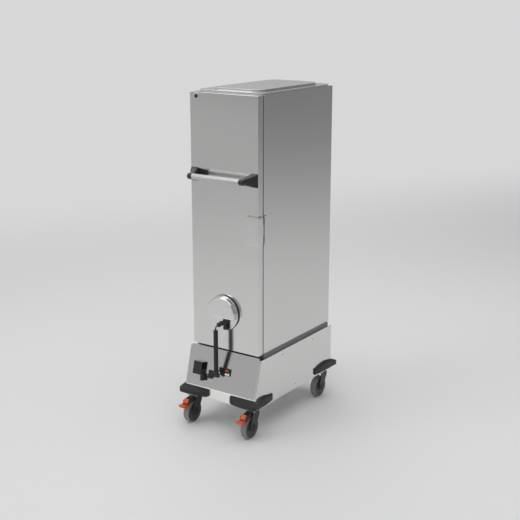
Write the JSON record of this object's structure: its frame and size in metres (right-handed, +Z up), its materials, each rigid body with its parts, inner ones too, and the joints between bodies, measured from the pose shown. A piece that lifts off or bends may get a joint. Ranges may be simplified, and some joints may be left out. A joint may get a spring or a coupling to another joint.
{
  "type": "enclosed meal tray cart",
  "caption": "Tall insulated tray cart with one hinged door, a round heater module on the door, a push bar, corner bumpers and braked swivel casters.",
  "frame": {"origin": "centre of the whole cart's footprint box, on the floor under the wheels", "axes": "+Z up, -Y towards the door and its push bar, +X to the latch side of the door"},
  "size_m": [0.524, 0.944, 1.878],
  "materials": {
    "stainless": "fine brushed stainless steel",
    "stainless_light": "fine brushed stainless steel, bright",
    "chassis_steel": "folded stainless steel, satin",
    "foam": "rigid foam, cream",
    "black_rubber": "matt black rubber",
    "black_plastic": "fine grained black plastic",
    "bumper": "fine grained anthracite plastic",
    "recess_grey": "matt grey plastic",
    "dark_plastic": "satin anthracite plastic",
    "fork_black": "satin black paint",
    "tyre_grey": "matt grey elastic rubber",
    "orange_plastic": "satin orange plastic",
    "white_window": "glossy white plastic",
    "aluminium": "bright anodised aluminium",
    "zinc": "zinc plated steel",
    "heater": "dark oxidised steel sheath"
  },
  "bodies": {
    "cabinet": {"cabinet_shell": "stainless", "back_panel": "stainless", "front_frame": "recess_grey", "inner_liner": "stainless_light", "wall_foam": "foam", "top_deck": "stainless", "tray_posts": "stainless_light", "tray_runners": "stainless_light", "hinge_lower_leaves": "stainless_light", "latch_keeper": "stainless", "spacer_frame": "recess_grey", "base_cover": "stainless_light", "base_front_panel": "stainless", "chassis_tray": "chassis_steel", "bumpers_front": "bumper", "bumpers_rear": "bumper", "caster_plates": "zinc", "socket_block": "black_plastic", "indicator_windows": "white_window", "inlet_box": "black_plastic", "electrical_box": "dark_plastic", "cover_screws": "zinc"},
    "door": {"door_skin": "stainless", "door_foam": "foam", "door_liner": "stainless", "door_gasket": "black_rubber", "hinge_upper_leaves": "stainless_light", "bar_brackets": "black_plastic", "push_bar": "aluminium", "latch_case": "black_plastic", "corner_cap": "black_plastic", "module_gasket": "black_rubber", "module_flange": "stainless", "module_cover": "stainless", "fan_motor": "zinc", "fan_duct": "stainless_light", "heating_rings": "heater", "fan_guard": "stainless_light", "module_connector": "black_plastic", "module_lead": "black_rubber", "lead_hose": "black_rubber", "latch_hinge": "stainless_light"},
    "latch_paddle": {"latch_paddle": "stainless"},
    "latch_tongue": {"latch_tongue": "stainless_light"},
    "fan": {"fan_impeller": "aluminium"},
    "rocker": {"rocker_switch": "orange_plastic"},
    "caster_front_left": {"fork_front_left": "fork_black"},
    "wheel_front_left": {"hub_front_left": "dark_plastic", "tyre_front_left": "tyre_grey"},
    "brake_front_left": {"pedal_front_left": "orange_plastic"},
    "caster_front_right": {"fork_front_right": "fork_black"},
    "wheel_front_right": {"hub_front_right": "dark_plastic", "tyre_front_right": "tyre_grey"},
    "brake_front_right": {"pedal_front_right": "orange_plastic"},
    "caster_rear_left": {"fork_rear_left": "fork_black"},
    "wheel_rear_left": {"hub_rear_left": "dark_plastic", "tyre_rear_left": "tyre_grey"},
    "caster_rear_right": {"fork_rear_right": "fork_black"},
    "wheel_rear_right": {"hub_rear_right": "dark_plastic", "tyre_rear_right": "tyre_grey"}
  },
  "joints": [
    {"name": "door_swing", "type": "hinge", "parent": "cabinet", "child": "door", "pos_m": [-0.233, -0.272, 1.158], "axis": [0, 0, -1], "range_deg": [0, 180]},
    {"name": "paddle_turn", "type": "hinge", "parent": "door", "child": "latch_paddle", "pos_m": [0.151, -0.3191, 1.154], "axis": [0, 0, -1], "range_deg": [0, 22], "stiffness_Nm_per_rad": 0.5},
    {"name": "tongue_slide", "type": "slide", "parent": "door", "child": "latch_tongue", "axis": [-1, 0, 0], "range_m": [0, 0.004]},
    {"name": "fan_spin", "type": "hinge", "parent": "door", "child": "fan", "pos_m": [-0.006, -0.294, 0.671], "axis": [0, 1, 0], "continuous": true},
    {"name": "rocker_tip", "type": "hinge", "parent": "cabinet", "child": "rocker", "pos_m": [0.038, -0.3491, 0.34725], "axis": [0, -0.2487, -0.9686], "range_deg": [0, 10]},
    {"name": "swivel_front_left", "type": "hinge", "parent": "cabinet", "child": "caster_front_left", "pos_m": [-0.198, -0.333, 0.15], "axis": [0, 0, 1], "continuous": true},
    {"name": "roll_front_left", "type": "hinge", "parent": "caster_front_left", "child": "wheel_front_left", "pos_m": [-0.198, -0.372, 0.0625], "axis": [1, 0, 0], "continuous": true},
    {"name": "press_front_left", "type": "hinge", "parent": "caster_front_left", "child": "brake_front_left", "pos_m": [-0.198, -0.413, 0.139], "axis": [1, 0, 0], "range_deg": [0, 12]},
    {"name": "swivel_front_right", "type": "hinge", "parent": "cabinet", "child": "caster_front_right", "pos_m": [0.198, -0.333, 0.15], "axis": [0, 0, 1], "continuous": true},
    {"name": "roll_front_right", "type": "hinge", "parent": "caster_front_right", "child": "wheel_front_right", "pos_m": [0.198, -0.372, 0.0625], "axis": [1, 0, 0], "continuous": true},
    {"name": "press_front_right", "type": "hinge", "parent": "caster_front_right", "child": "brake_front_right", "pos_m": [0.198, -0.413, 0.139], "axis": [1, 0, 0], "range_deg": [0, 12]},
    {"name": "swivel_rear_left", "type": "hinge", "parent": "cabinet", "child": "caster_rear_left", "pos_m": [-0.198, 0.391, 0.15], "axis": [0, 0, 1], "continuous": true},
    {"name": "roll_rear_left", "type": "hinge", "parent": "caster_rear_left", "child": "wheel_rear_left", "pos_m": [-0.198, 0.352, 0.0625], "axis": [1, 0, 0], "continuous": true},
    {"name": "swivel_rear_right", "type": "hinge", "parent": "cabinet", "child": "caster_rear_right", "pos_m": [0.198, 0.391, 0.15], "axis": [0, 0, 1], "continuous": true},
    {"name": "roll_rear_right", "type": "hinge", "parent": "caster_rear_right", "child": "wheel_rear_right", "pos_m": [0.198, 0.352, 0.0625], "axis": [1, 0, 0], "continuous": true}
  ],
  "couplings": [
    {"joint": "tongue_slide", "follows": "paddle_turn", "m_per_rad": 0.0104}
  ]
}
